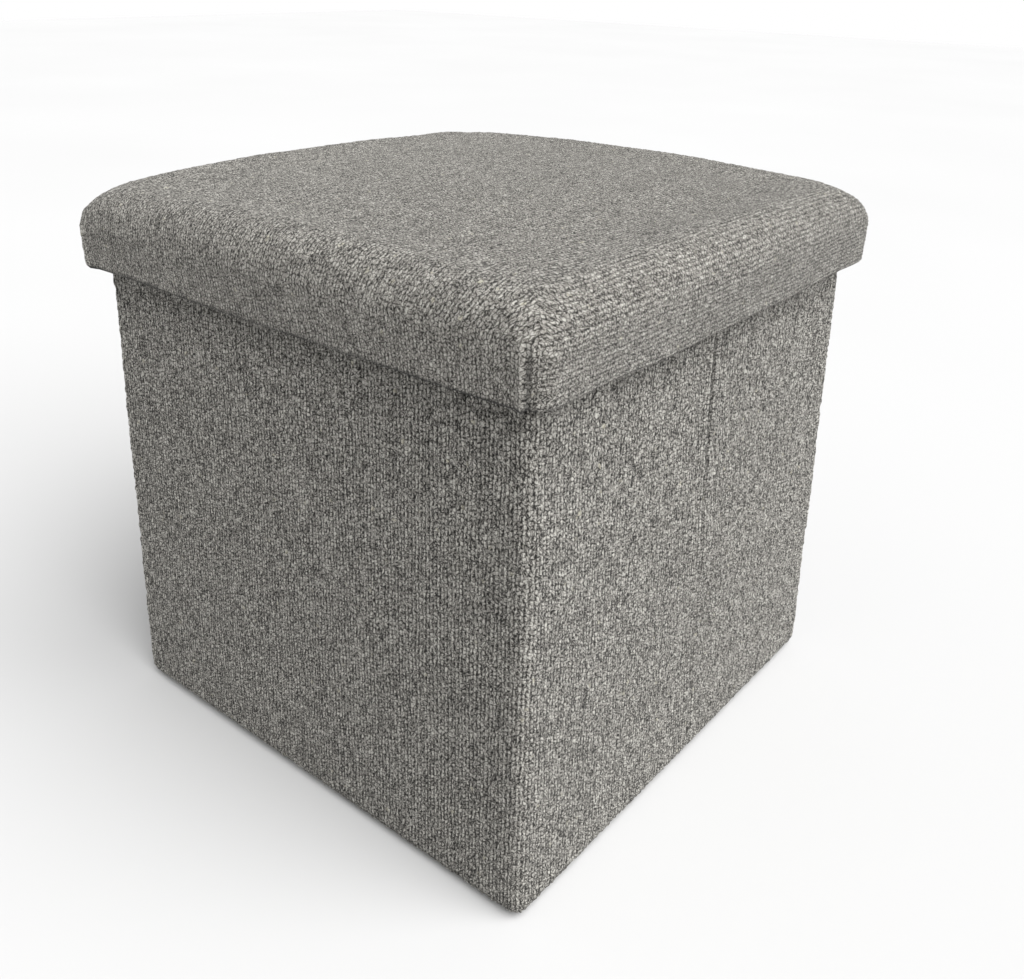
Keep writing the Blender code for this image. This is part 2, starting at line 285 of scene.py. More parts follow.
def round_the_body(s):
    """Places and outward directions in plan, at length s round the body from the front's middle."""
    s = (np.asarray(s, float) + straight_wide / 2) % around
    place, outward = np.zeros((*s.shape, 2)), np.zeros((*s.shape, 2))
    start, corner = 0.0, np.array([-straight_wide / 2, -half_deep + CLOTH_BACK])
    for side in range(4):
        ahead = np.array([math.cos(side * QUARTER), math.sin(side * QUARTER)])
        out = np.array([ahead[1], -ahead[0]])
        length = straight_wide if side % 2 == 0 else straight_deep
        here = s - start
        on_side = (here >= 0) & (here < length + corner_length)
        angle = np.clip(here - length, 0, None) / BODY_CORNER
        turned = np.cos(angle)[..., None] * out + np.sin(angle)[..., None] * ahead
        centre = corner + np.clip(here, 0, length)[..., None] * ahead - BODY_CORNER * out
        place = np.where(on_side[..., None], centre + BODY_CORNER * turned, place)
        outward = np.where(on_side[..., None], turned, outward)
        corner = corner + length * ahead + BODY_CORNER * (ahead - out)
        start += length + corner_length
    return place, outward


def wall_section():
    """The cover's section, from the foot of the board up, over the top edge and down inside."""
    foot_turn = math.asin((FOOT_ROUND - wall_foot) / FOOT_ROUND) / QUARTER
    inner = -wall + CLOTH_BACK
    points = arc((-FOOT_ROUND, FOOT_ROUND), FOOT_ROUND, -foot_turn, 0.0)
    points += arc((-TOP_ROUND, wall_top - TOP_ROUND), TOP_ROUND, 0.0, 1.0)
    points += arc((inner + TOP_ROUND, wall_top - TOP_ROUND), TOP_ROUND, 1.0, 2.0)
    points += [(inner, wall_top - TURN_OVER)]
    return walk(points, ROW)


# Each side wall folds in at its middle. The cloth is creased in there, sharply near the top, and
# stands full beside the crease. Smaller folds run beside it under the lid.
CREASE_TOP, CREASE_FOOT = -0.0068, 0.0060  # how far the crease in the cloth strays from the fold
CREASE_DEPTH_TOP, CREASE_DEPTH_FOOT = 0.0030, 0.0010
CREASE_WIDTH = 0.0016
CREASE_PULL = 0.030  # how far to each side the cloth's ribs lean with the crease
FULL_IN_FRONT, FULL_IN_FRONT_WIDTH = -0.0038, 0.0026  # where the cloth stands full, and how wide
FULL_BEHIND, FULL_BEHIND_WIDTH = 0.0045, 0.0030
FOLD_LINES = ((-0.0085, 0.0009), (-0.0125, 0.0006), (-0.0170, 0.0005), (0.0120, 0.0005))
FOLD_LINE_WIDTH = 0.0012
FOLD_LINES_FROM = 0.255  # height above which the cloth beside the crease is creased too
# The crease and the small folds beside it are also darkened in the cloth's colour: painted shade,
# faint at the foot and dark near the top.
CREASE_PAINTED_SHADE_TOP, CREASE_PAINTED_SHADE_FOOT = 1.0, 0.32
CREASE_PAINTED_SHADE_FROM, CREASE_PAINTED_SHADE_OVER = 0.13, 0.11  # it goes from faint to dark over these heights
FOLDS_PAINTED_SHADE, FOLDS_PAINTED_SHADE_WIDTH = 0.30, 0.0010


def bump_at(off, at, width):
    """1 at a line and 0 away from it, over about this width."""
    return np.exp(-(((off - at) / width) ** 2))


def up_the_wall(z):
    return np.clip(z / wall_top, 0, 1)


def up_the_folds(z):
    return np.clip((z - FOLD_LINES_FROM) / (wall_top - FOLD_LINES_FROM), 0, 1)


def crease_path(z):
    """How far the crease lies from the fold line, at height z."""
    wander = 0.0006 * np.sin(z / 0.021) + 0.0004 * np.sin(z / 0.0083 + 1.0)
    return CREASE_FOOT + (CREASE_TOP - CREASE_FOOT) * up_the_wall(z) + wander


def crease(off, z):
    """The cloth's dip at the crease, at off from it, and the fullness and small folds beside it."""
    up = up_the_wall(z)
    depth = CREASE_DEPTH_FOOT + (CREASE_DEPTH_TOP - CREASE_DEPTH_FOOT) * up**1.8
    dip = -depth * bump_at(off, 0, CREASE_WIDTH)
    full = (0.0004 + 0.0008 * up) * bump_at(off, FULL_IN_FRONT, FULL_IN_FRONT_WIDTH)
    full = full + 0.0004 * bump_at(off, FULL_BEHIND, FULL_BEHIND_WIDTH)
    for at, deep in FOLD_LINES:
        full = full - deep * up_the_folds(z) * bump_at(off, at, FOLD_LINE_WIDTH)
    return dip + full


def crease_shade(off, z):
    """How much the crease and the small folds beside it keep the light out, from 0 to 1."""
    fading = np.clip((z - CREASE_PAINTED_SHADE_FROM) / CREASE_PAINTED_SHADE_OVER, 0, 1)
    dark = CREASE_PAINTED_SHADE_FOOT + (CREASE_PAINTED_SHADE_TOP - CREASE_PAINTED_SHADE_FOOT) * fading
    shade = dark * bump_at(off, 0, 0.0011 + 0.0007 * up_the_wall(z))
    for at, _ in FOLD_LINES:
        shade = shade + FOLDS_PAINTED_SHADE * up_the_folds(z) * bump_at(off, at, FOLDS_PAINTED_SHADE_WIDTH)
    return shade


PRESSED_INSIDE = 0.35  # how much of its thickness the cloth keeps over the top edge and inside
PRESSED_AT_FOOT = 0.2


def body_cloth():
    """The whole sleeve as a grid of points: rows up the section, columns round the body.

    With them go how pale each loop is, its place in the flat cloth, and the painted shade of the
    creases.
    """
    section, heights = wall_section()
    normals = section_normals(section)
    s = np.arange(columns) * column_step
    shape = (len(section), columns)
    out, along, across, pale = loops_of(shape, 0, seed=11)
    pressed = np.ones(len(section))
    on_top = section[:, 1] > wall_top - TOP_ROUND * 1.5
    inside = section[:, 0] < -wall / 2
    pressed[on_top | inside] = PRESSED_INSIDE
    pressed[0] = PRESSED_AT_FOOT
    out = out * pressed[:, None]
    outer = np.clip((section[:, 0] + 0.004) / 0.004, 0, 1)[:, None]
    level = section[:, 1][:, None]
    right_middle = side_start + straight_deep / 2
    left_middle = around - right_middle
    crease_out, shaded, painted_crease_shade, painted_ridge_highlight = 0.0, 0.0, 0.0, 0.0
    for fold, mirror in ((right_middle, 1), (left_middle, -1)):
        fold_at = 2 * int(round(fold / column_step / 2)) * column_step
        off = mirror * (s[None, :] - fold_at)
        pulled = mirror * crease_path(level) * bump_at(off, 0, CREASE_PULL)
        across = across * (1 - bump_at(off, 0, 0.0030)) + pulled
        crease_out = crease_out + crease(off, level)
        up = up_the_wall(level)
        shaded = shaded + (0.25 + 0.75 * up**1.5) * bump_at(off, 0, 0.0012)
        # Painted shade in the crease and the small folds beside it.
        painted_crease_shade = painted_crease_shade + crease_shade(off, level)
        # A painted highlight on the full ridge in front of the crease.
        painted_ridge_highlight = painted_ridge_highlight + up**2 * bump_at(off, -0.0035, 0.0012)
    place, outward = round_the_body(s[None, :] + across)
    rise = heights[:, None] + along * pressed[:, None]
    rise[0], rise[-1] = heights[0], heights[-1]
    offset = np.stack([np.interp(rise, heights, section[:, i]) for i in range(2)], -1)
    facing = np.stack([np.interp(rise, heights, normals[:, i]) for i in range(2)], -1)
    z = offset[..., 1]
    slack = 0.00030 * cloud(shape, (26, 40), 21) + 0.00015 * cloud(shape, (9, 12), 22)
    slack = np.maximum(slack, -0.0003) + crease_out
    # The loops are made darker in the crease as painted shade, and paler on the ridge in front of it
    # as a painted highlight.
    loop = np.clip(pale + 0.5 * painted_ridge_highlight, 0, 1) * (1 - np.minimum(shaded, 1))
    out = out * (1 - 0.7 * np.minimum(shaded, 1)) + slack * outer
    reach = offset[..., 0] + out * facing[..., 0]
    height = z + out * facing[..., 1]
    points = np.concatenate([place + outward * reach[..., None], height[..., None]], -1)
    painted_crease_shade = np.clip(painted_crease_shade * np.ones(shape), 0, 1)
    return points, loop, np.stack([across, rise, 0 * rise], -1), painted_crease_shade


def grid_faces(rows, cols, close_rows=False, close_cols=False, turned=False):
    """Quads of a grid whose points are numbered along its rows.

    The grid can close on itself across its rows or its columns, and can face the other way.
    """
    number = np.arange(rows * cols).reshape(rows, cols)
    number = np.pad(number, ((0, int(close_rows)), (0, int(close_cols))), mode="wrap")
    first, beside = number[:-1, :-1], number[:-1, 1:]
    above, opposite = number[1:, :-1], number[1:, 1:]
    order = [first, above, opposite, beside] if turned else [first, beside, opposite, above]
    return np.stack(order, -1).reshape(-1, 4)


def cloth_piece(name, points, faces, material, carried=None):
    """An object of these points and faces, shaded smooth, with what its points carry."""
    mesh = bpy.data.meshes.new(name)
    faces = faces.tolist() if isinstance(faces, np.ndarray) else faces
    mesh.from_pydata(np.asarray(points).reshape(-1, 3).tolist(), [], faces)
    for label, values in (carried or {}).items():
        values = np.asarray(values, np.float32)
        if values.ndim and values.size == 3 * len(mesh.vertices):
            attribute = mesh.attributes.new(label, "FLOAT_VECTOR", "POINT")
            attribute.data.foreach_set("vector", values.ravel())
        else:
            attribute = mesh.attributes.new(label, "FLOAT", "POINT")
            attribute.data.foreach_set("value", values.ravel())
    mesh.shade_smooth()
    mesh.materials.append(material)
    made = bpy.data.objects.new(name, mesh)
    bpy.context.scene.collection.objects.link(made)
    return made


LOOP_CELL = 1.75  # millimetres, as are all the sizes in the materials
YARN_GAP = 0.95
FIBRE = 0.50
FLECK_SPACING = 13.0
# Near black for painted shade in the creases, at the lid's seams and under the skirt's lip.
PAINTED_SHADE_COLOUR = (0.008, 0.0075, 0.007)
FLECK = (0.50, 0.475, 0.375)


def looped_cloth(name, opened_with_painted_shade, relief_depth):
    """Grey looped knit. The mesh carries its ribs; the nodes add single loops and fibres.

    The second argument is how far the ribs are pulled apart, from 0 to 1. It also darkens the gaps
    between them and raises the loops' contrast: partly the opened knit, partly painted shade of the
    loops' relief under low side light.
    """
    cloth = Finish(name, Roughness=0.95, Specular_IOR_Level=0.15)
    cloth.shader.inputs["Sheen Weight"].default_value = 0.08
    cloth.shader.inputs["Sheen Roughness"].default_value = 0.6
    flat = cloth.carried("cloth_place", "Vector") * (1000, 1000, 1000)
    loop = cloth.carried("loop")
    # fold carries painted shade from the mesh: creases, the lid's seams and the underside of the
    # skirt's lip are darkened towards near black.
    fold = cloth.carried("fold")
    inputs = {"Vector": flat, "Scale": 0.7, "Detail": 0.0}
    wander = cloth.node("TexNoise", inputs=inputs, output="Color")
    place = flat + (wander - (0.5, 0.5, 0.5)) * (2.0, 2.0, 0.0)
    place = place * (1.0, 0.82 - 0.20 * opened_with_painted_shade, 1.0)
    settings = {"voronoi_dimensions": "2D", "feature": "DISTANCE_TO_EDGE"}
    inputs = {"Vector": place, "Scale": 1 / LOOP_CELL}
    edge = cloth.node("TexVoronoi", settings, inputs, output="Distance")
    yarn = cloth.cells(place, LOOP_CELL, output="Color")
    shade = cloth.node("SeparateColor", inputs={0: yarn})
    worm = cloth.noise(place, YARN_GAP, detail=0.0)
    gap = cloth.node("Math", {"operation": "ABSOLUTE"}, {0: worm - 0.5}).rise(0.0, 0.09)
    fibre = cloth.noise(flat * (1.0, 0.7, 1.0), FIBRE, detail=1.0, roughness=0.6)
    clouds = cloth.noise(flat, 30.0, detail=3.0)
    dome = edge.rise(0.02, 0.24)
    height = loop * (0.24 + 0.30 * opened_with_painted_shade) + dome * 0.38 + gap * 0.30
    tone = height + (shade - 0.5) * 0.12 + (clouds - 0.5) * 0.08
    tone = tone + (fibre - 0.5) * (0.16 + 0.34 * opened_with_painted_shade)
    dark, mid, pale = (0.016, 0.015, 0.013), (0.205, 0.195, 0.176), (0.50, 0.487, 0.447)
    colour = cloth.mix(tone.rise(0.22 + 0.16 * opened_with_painted_shade, 0.66 + 0.06 * opened_with_painted_shade), dark, mid)
    colour = cloth.mix(tone.rise(0.57 + 0.08 * opened_with_painted_shade, 1.05 + 0.02 * opened_with_painted_shade), colour, pale)
    fleck_place = flat + (wander - (0.5, 0.5, 0.5)) * (3.0, 3.0, 0.0)
    fleck = 1 - cloth.cells(fleck_place, FLECK_SPACING).rise(0.06, 0.12)
    colour = cloth.mix(fleck * height * 0.75, colour, FLECK)
    colour = cloth.mix(fold * 0.95, colour, PAINTED_SHADE_COLOUR)
    relief = dome * 0.6 + gap * 0.5 + fibre * 0.3
    return cloth.look(colour, None, relief, depth=relief_depth)


# The walls' copy of the knit has more contrast and darker gaps than the lid's: partly the opened
# knit, partly painted shade of the relief.
STRETCHED_RELIEF = 0.55
stretched_cloth_painted_shade_finish = looped_cloth("looped_cloth_stretched_painted_shade", 1.0, STRETCHED_RELIEF)
sleeve, sleeve_loop, sleeve_place, sleeve_painted_shade = body_cloth()


def column_at(s):
    """The column of the grid nearest to length s round the body, on a groove."""
    return 2 * int(round(s / column_step / 2))


def sleeve_part(name, start, end):
    """The sleeve from one length to another, as its own piece."""
    run = np.arange(column_at(start), column_at(end) + 1)
    span = run % columns
    points = sleeve[:, span]
    cloth_place = sleeve_place[:, span]
    cloth_place[..., 0] += run * column_step
    carried = {
        "cloth_place": cloth_place,
        "loop": sleeve_loop[:, span],
        # The fold attribute carries the painted shade of the creases.
        "fold": sleeve_painted_shade[:, span],
    }
    faces = grid_faces(points.shape[0], points.shape[1])
    part = cloth_piece(name, points, faces, stretched_cloth_painted_shade_finish, carried)
    flat = (float((len(run) - 1) * column_step), float(wall_section()[1][-1]))
    return part


CREASE_ZONE = 0.010  # the piece behind starts this far in front of the fold
JOIN_SLACK = 0.0018  # where a bend past the join of two pieces would start; the pieces are not bent
to_crease = side_start + straight_deep / 2 - CREASE_ZONE
rear_corner = side_start + straight_deep
front_end = straight_wide / 2
closing_seam = around - side_start - straight_deep
CORNER_BEND = 0.004

front_cover = sleeve_part("front_cover_cloth", -front_end, front_end)
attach(front_cover, "front_wall")
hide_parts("front_cover")

for side, x_sign in (("right", 1), ("left", -1)):
    if side == "right":
        front_part = sleeve_part("right_front_cover_cloth", front_end, to_crease)
        rear_part = sleeve_part("right_rear_cover_cloth", to_crease, rear_corner)
    else:
        front_part = sleeve_part("left_front_cover_cloth", around - to_crease, around - front_end)
        rear_part = sleeve_part("left_rear_cover_cloth", closing_seam, around - to_crease)
    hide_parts(f"{side}_front_cover")
    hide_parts(f"{side}_rear_cover")
    bend_start = (x_sign * (half_wide - BODY_CORNER + JOIN_SLACK), -half_deep, 0)
    bend_end = (x_sign * half_wide, -half_deep + BODY_CORNER + CORNER_BEND, 0)
    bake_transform(front_part)
    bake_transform(rear_part)

back_cover = sleeve_part("back_cover_cloth", rear_corner, closing_seam)
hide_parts("back_cover")
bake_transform(back_cover)

# ---- Linings of the walls ------------------------------------------------------------------
# Thin black spun cloth, embossed all over with small points, is glued inside each leaf. Its
# edges are turned under, and its upper edge lies against the cloth that comes over the wall.

LINING_STEP = 0.006
LINING_WAVE = 0.00012
LINING_EDGE = 0.0006  # how far its turned edge goes back


def spun_cloth():
    spun = Finish("black_spun_cloth", Roughness=0.7, Specular_IOR_Level=0.35)
    spun.shader.inputs["Sheen Weight"].default_value = 0.25
    spun.shader.inputs["Sheen Roughness"].default_value = 0.4
    place = spun.where()
    points = spun.cells(place, 1.15, randomness=0.12).rise(0.12, 0.45)
    fibre = spun.noise(place, 0.35, detail=3.0, roughness=0.7)
    clouds = spun.noise(place, 28.0, detail=3.0)
    colour = spun.mix(points, (0.010, 0.010, 0.011), (0.030, 0.030, 0.032))
    colour = spun.mix(clouds.rise(0.3, 0.8) * 0.5, colour, (0.040, 0.040, 0.043))
    return spun.look(colour, 0.55 + fibre * 0.3, points + fibre * 0.4, depth=0.10)


spun_cloth_finish = spun_cloth()


def glued_sheet(name, corner, along, up, material, turned, seed):
    """A sheet from a corner along two edges, with all four edges turned back by a vector."""
    wave = LINING_WAVE
    corner, along, up, turned = (np.asarray(v, float) for v in (corner, along, up, turned))
    across_steps = max(int(np.linalg.norm(along) / LINING_STEP), 4)
    up_steps = max(int(np.linalg.norm(up) / LINING_STEP), 4)
    i = np.r_[0, np.linspace(0, 1, across_steps + 1), 1]
    j = np.r_[0, np.linspace(0, 1, up_steps + 1), 1]
    points = corner + i[None, :, None] * along + j[:, None, None] * up
    wavy = wave * cloud(points.shape[:2], (3.0, 3.0), seed)
    facing = -turned / np.linalg.norm(turned)
    points = points + np.clip(wavy, -2 * wave, 2 * wave)[..., None] * facing
    back = np.zeros(points.shape[:2])
    back[0], back[-1], back[:, 0], back[:, -1] = 1, 1, 1, 1
    points = points + back[..., None] * turned
    return cloth_piece(name, points, grid_faces(*points.shape[:2]), material)


for number, leaf in enumerate(LEAVES):
    low, high = (np.array(corner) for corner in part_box(f"{leaf}_lining"))
    foot, height = low[2], (0, 0, high[2] - low[2])
    if leaf in ("front", "back"):
        sign = -1 if leaf == "front" else 1
        reach = half_wide - wall + 0.0004
        y = sign * (half_deep - wall + 0.0002)
        start, along = (-reach, y, foot), (2 * reach, 0, 0)
        turned = (0, sign * LINING_EDGE, 0)
    else:
        sign = -1 if leaf.startswith("left") else 1
        x = sign * (half_wide - wall + 0.0002)
        start, along = (x, low[1], foot), (0, high[1] - low[1], 0)
        turned = (sign * LINING_EDGE, 0, 0)
    lining = glued_sheet(
        f"{leaf}_lining_cloth", start, along, height, spun_cloth_finish, turned, seed=31 + number
    )
    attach(lining, f"{leaf}_wall" if leaf in ("front", "back") else f"{leaf}_leaf")
    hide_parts(f"{leaf}_lining")

# ---- Hem under the walls -------------------------------------------------------------------
# The cover goes on below the boards as a soft hem: it rounds in under the walls, touches the
# floor and ends against the bottom cloth. There is no board in it; here it is one piece on the front
# wall.

HEM_END = 0.018  # how far in from the outer face it ends under the bottom
HEM_LIFT = 0.0002


def hem_section():
    """Closed: in under the wall from outside, across, up inside and out again under the boards."""
    foot_turn = math.asin((FOOT_ROUND - hem_high[2]) / FOOT_ROUND) / QUARTER
    inner = -wall + CLOTH_BACK
    outer = arc((-FOOT_ROUND, FOOT_ROUND + HEM_LIFT), FOOT_ROUND, -foot_turn, -1.0)
    tucked = [(-HEM_END, HEM_LIFT), (-HEM_END, 0.0011), (inner - 0.0004, 0.0012)]
    inside = [(inner, 0.0020), (inner, hem_high[2]), (-0.0018, hem_high[2])]
    return walk(outer + tucked + inside, ROW * 0.75)


def hem():
    section, heights = hem_section()
    normals = section_normals(section) * (-1, -1)
    s = np.arange(columns) * column_step
    shape = (len(section), columns)
    out, along, across, loop = loops_of(shape, 0, seed=51)
    outside = np.clip((section[:, 0] + HEM_END * 0.8) / 0.004, 0, 1)
    outside = outside * (np.arange(len(section)) < len(section) * 0.45)
    pressed = np.clip(section[:, 1] / 0.003, 0.25, 1) * outside
    out = np.maximum(out * pressed[:, None], -0.0001 * (section[:, 1] < 0.001)[:, None])
    place, outward = round_the_body(s[None, :] + across * outside[:, None])
    reach = section[:, 0][:, None] + out * normals[:, 0][:, None]
    height = section[:, 1][:, None] + out * normals[:, 1][:, None]
    points = np.concatenate([place + outward * reach[..., None], height[..., None]], -1)
    points[..., 2] = np.maximum(points[..., 2], 0.0)
    cloth_place = np.stack([s[None, :] + across, -heights[:, None] + 0 * across, 0 * across], -1)
    faces = grid_faces(*shape, close_rows=True, close_cols=True, turned=True)
    carried = {"cloth_place": cloth_place, "loop": loop, "fold": 0 * loop}
    return cloth_piece("hem_cloth", points, faces, stretched_cloth_painted_shade_finish, carried)


hem_cloth = hem()
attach(hem_cloth, "front_wall")
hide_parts("bottom_hem")
hem_height = float(hem_section()[1][-1]) / 2
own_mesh(hem_cloth)

# Under the boards the bottom is closed by the same black spun cloth, sewn to the hem.
cloth_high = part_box("bottom_cloth")[1]
BOTTOM_OVERLAP = 0.006  # how far the bottom cloth laps the hem
bottom_half = half_wide - HEM_END + BOTTOM_OVERLAP
bottom = glued_sheet(
    "bottom_spun_cloth",
    (-bottom_half, -bottom_half, cloth_high[2] + 0.0001),
    (2 * bottom_half, 0, 0),
    (0, 2 * bottom_half, 0),
    spun_cloth_finish,
    (0, 0, -0.0003),
    seed=61,
)
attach(bottom, "front_wall")
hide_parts("bottom_cloth")
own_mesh(bottom)

# ---- Base board ----------------------------------------------------------------------------
# A loose fibre board stiffens the bottom. Black spun cloth is stretched over it, turned under
# its edges and glued. A woven tape joins it to the front wall, and a ribbon loop lifts it.

keep_board("base_board")

base_low, base_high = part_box("base_cloth")
BASE_EDGE = 0.0010  # rounding of the cloth over the board's edges
BASE_TURNED = 0.016
BASE_STEPS = 56  # along each side of the board
base_reach = (base_high[0] - base_low[0]) / 2
base_long = (base_high[1] - base_low[1]) / 2
base_middle = (base_high[1] + base_low[1]) / 2


def base_cloth_section():
    """From the middle of the board outwards over its edge, and in under it: inset and height."""
    foot = base_low[2] - 0.00012
    points = [(-base_reach, base_high[2])]
    points += arc((-BASE_EDGE, base_high[2] - BASE_EDGE), BASE_EDGE, 1.0, 0.0, 5)
    points += arc((-BASE_EDGE, foot + BASE_EDGE), BASE_EDGE, 0.0, -1.0, 5)
    return points + [(-BASE_TURNED, foot)]


def base_cloth():
    section = np.array(base_cloth_section())
    share = np.linspace(-1, 1, BASE_STEPS + 1)
    inner_rings = np.linspace(0.04, 1, 26)[:-1]
    rings = [(-base_reach + (base_reach - BASE_EDGE) * r, base_high[2]) for r in inner_rings]
    rings += [tuple(point) for point in section[1:]]
    points = []
    for inset, z in rings:
        x, y = base_reach + inset, base_long + inset
        side = [(f * x, -y, z) for f in share[:-1]] + [(x, f * y, z) for f in share[:-1]]
        side += [(-f * x, y, z) for f in share[:-1]] + [(-x, -f * y, z) for f in share[:-1]]
        points.append(side)
    points = np.array(points)
    wavy = 0.00010 * cloud(points.shape[:2], (2.0, 4.0), 71)
    on_top = points[..., 2] > base_high[2] - 1e-6
    points[..., 2] += np.where(on_top, np.clip(wavy, -0.0002, 0.0001), 0)
    points[..., 1] += base_middle
    rows, cols = points.shape[:2]
    faces = grid_faces(rows, cols, close_cols=True, turned=True).tolist() + [list(range(cols))]
    return cloth_piece("base_spun_cloth", points, faces, spun_cloth_finish)


base_cover = base_cloth()
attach(base_cover, "base")
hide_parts("base_cloth")

RIBBON = 0.0004
TAPE_UP_WALL = 0.009


def woven_ribbon():
    """Black grosgrain: fine ribs across it, and a smooth selvedge at its edges."""
    ribbon = Finish("black_woven_ribbon", Roughness=0.5, Specular_IOR_Level=0.4)
    place = ribbon.where()
    inputs = {"Vector": place, "Scale": 0.55}
    weave = ribbon.node("TexWave", {"bands_direction": "X"}, inputs, output="Fac")
    thread = ribbon.noise(place, 0.3, detail=2.0)
    clouds = ribbon.noise(place, 12.0)
    colour = ribbon.mix(weave * 0.6 + thread * 0.4, (0.008, 0.008, 0.009), (0.035, 0.035, 0.038))
    colour = ribbon.mix(clouds * 0.3, colour, (0.045, 0.044, 0.046))
    return ribbon.look(colour, 0.42 + thread * 0.25, weave + thread * 0.4, depth=0.12)


woven_ribbon_finish = woven_ribbon()


def strip(name, path, start, end, thickness, material, steps=60):
    """A closed flat band along X whose section is a path in Y and Z, thickened on its left."""
    path = np.asarray(path, float)
    normals = section_normals(path)
    outline = np.concatenate([path, (path - thickness * normals)[::-1]])
    x = np.linspace(start, end, steps + 1)
    points = np.zeros((len(outline), len(x), 3))
    points[..., 0] = x[None, :]
    points[..., 1:] = outline[:, None, :]
    rows, cols = points.shape[:2]
    faces = grid_faces(rows, cols, close_rows=True, turned=True).tolist()
    half = len(path)
    ends = []
    for column in (0, cols - 1):
        for i in range(half - 1):
            face = [i, i + 1, 2 * half - 2 - i, 2 * half - 1 - i]
            ends.append([k * cols + column for k in (face if column == 0 else face[::-1])])
    return cloth_piece(name, points, faces + ends, material)


tape_low, tape_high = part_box("base_hinge_tape")
inner_wall = -half_deep + wall
tape_path = [(inner_wall + 0.0007, tape_low[2] + TAPE_UP_WALL)]
tape_path += [(inner_wall + 0.0007, tape_low[2] + 0.0016)]
tape_path += arc((inner_wall + 0.0016, tape_low[2] + 0.0010), 0.0009, -2.0, -1.0, 6)
tape_path += [(tape_high[1], tape_low[2] + 0.0001)]
tape_path = walk(tape_path, 0.0008)[0][::-1]
tape = strip("base_tape", tape_path, tape_low[0], tape_high[0], -RIBBON, woven_ribbon_finish)
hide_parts("base_hinge_tape")
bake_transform(tape)

tab_low, tab_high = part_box("base_pull_tab")


def pull_tab():
    """A ribbon folded into a loop, flat on the board, with both ends stitched down."""
    low, high = tab_low[2] + 0.0001, tab_high[2] + 0.0003
    middle, radius = (low + high) / 2, (high - low) / 2
    end, start = tab_high[1] - radius, tab_low[1]
    loop = [(start, low), (end, low)]
    for angle in np.linspace(0.3, 2.84, 7):
        loop.append((end + radius * math.sin(angle), middle - radius * math.cos(angle)))
    loop += [(end, high), (start + 0.020, high + 0.0001)]
    loop += [(start + 0.012, low + 0.0007), (start, low + 0.0006)]
    path = walk(loop, 0.0012)[0]
    return strip("base_tab", path, tab_low[0], tab_high[0], RIBBON * 0.9, woven_ribbon_finish, 16)


tab = pull_tab()
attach(tab, "base")
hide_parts("base_pull_tab")
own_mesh(tab)

# ---- Tray of the lid -----------------------------------------------------------------------
# The lid is a shallow box turned over: a fibre board glued and stapled on four rim strips. Its
# upright corners are sanded round, so that the cover goes round them without a fold.

TRAY_CORNER = 0.013
SAWN_EDGE = 0.0004  # where the saw's sharp edges are broken

tray_low, tray_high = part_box("lid_board")
rim_low, rim_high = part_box("lid_rim_front")
rim_thick = rim_high[1] - rim_low[1]
rim_out = rim_high[0]


def board_from(name, outline, low, high):
    """A flat board: an outline in plan between two heights, its edges just broken."""
    outline = np.asarray(outline, float)
    middle = outline.mean(axis=0)
    inward = middle - outline
    inward /= np.maximum(np.abs(inward).max(axis=1, keepdims=True), 1e-9)
    levels = [(low, SAWN_EDGE), (low + SAWN_EDGE, 0), (high - SAWN_EDGE, 0), (high, SAWN_EDGE)]
    points = np.array(
        [[(*(place + inn * cut), z) for place, inn in zip(outline, inward)] for z, cut in levels]
    )
    rows, cols = points.shape[:2]
    last = (rows - 1) * cols
    caps = [list(range(cols))[::-1], list(range(last, last + cols))]
    faces = grid_faces(rows, cols, close_cols=True).tolist() + caps
    made = cloth_piece(name, points, faces, fibre_board_finish)
    made.data.set_sharp_from_angle(angle=math.radians(30))
    return made


def tray_outline(half, deepest, flat_end):
    """The front edge of the tray with both its round corners, back to a straight cut at deepest."""
    centre = half - TRAY_CORNER
    points = []
    for side in (-1, 1):
        arc_points = []
        for angle in np.linspace(0, QUARTER, 10):
            x, y = centre + TRAY_CORNER * math.cos(angle), -centre - TRAY_CORNER * math.sin(angle)
            if y < deepest - 1e-6:
                arc_points.append((side * x, y))
        across = math.sqrt(max(TRAY_CORNER**2 - (deepest + centre) ** 2, 0))
        arc_points.insert(0, (side * (centre + (across if flat_end else TRAY_CORNER)), deepest))
        points += arc_points if side < 0 else arc_points[::-1]
    return points


half_board = (tray_high[0] - tray_low[0]) / 2
quarter_ring = np.array(tray_outline(half_board, -half_board + TRAY_CORNER, False))
whole_ring = np.concatenate([quarter_ring, -quarter_ring])
lid_sheet = board_from("lid_board_sheet", whole_ring, tray_low[2], tray_high[2])
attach(lid_sheet, "lid")
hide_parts("lid_board")

rim_inner = -rim_out + rim_thick
front_outline = np.array(tray_outline(rim_out, rim_inner, True))
for side, sign in (("front", 1), ("back", -1)):
    rim = board_from(f"lid_rim_{side}_strip", sign * front_outline, rim_low[2], rim_high[2])
    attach(rim, "lid")
    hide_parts(f"lid_rim_{side}")

side_low, side_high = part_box("lid_rim_right")
end = side_high[1]
eased = [(rim_out - 0.0006, end), (rim_out - 0.0001, end - 0.0025), (rim_out, end - 0.0045)]
right_outline = [(side_low[0], end), *eased, *[(x, -y) for x, y in eased[::-1]], (side_low[0], -end)]
side_outline = np.array(right_outline)[::-1]
for side, sign in (("right", 1), ("left", -1)):
    rim = board_from(f"lid_rim_{side}_strip", sign * side_outline, rim_low[2], rim_high[2])
    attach(rim, "lid")
    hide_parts(f"lid_rim_{side}")

# ---- Cover and foam of the lid -------------------------------------------------------------
# One piece of the same looped knit over a foam pad. It is pulled down over the rim, turned
# under it and glued, and sewn up each corner of the rim. The foam rounds it and crowns it.

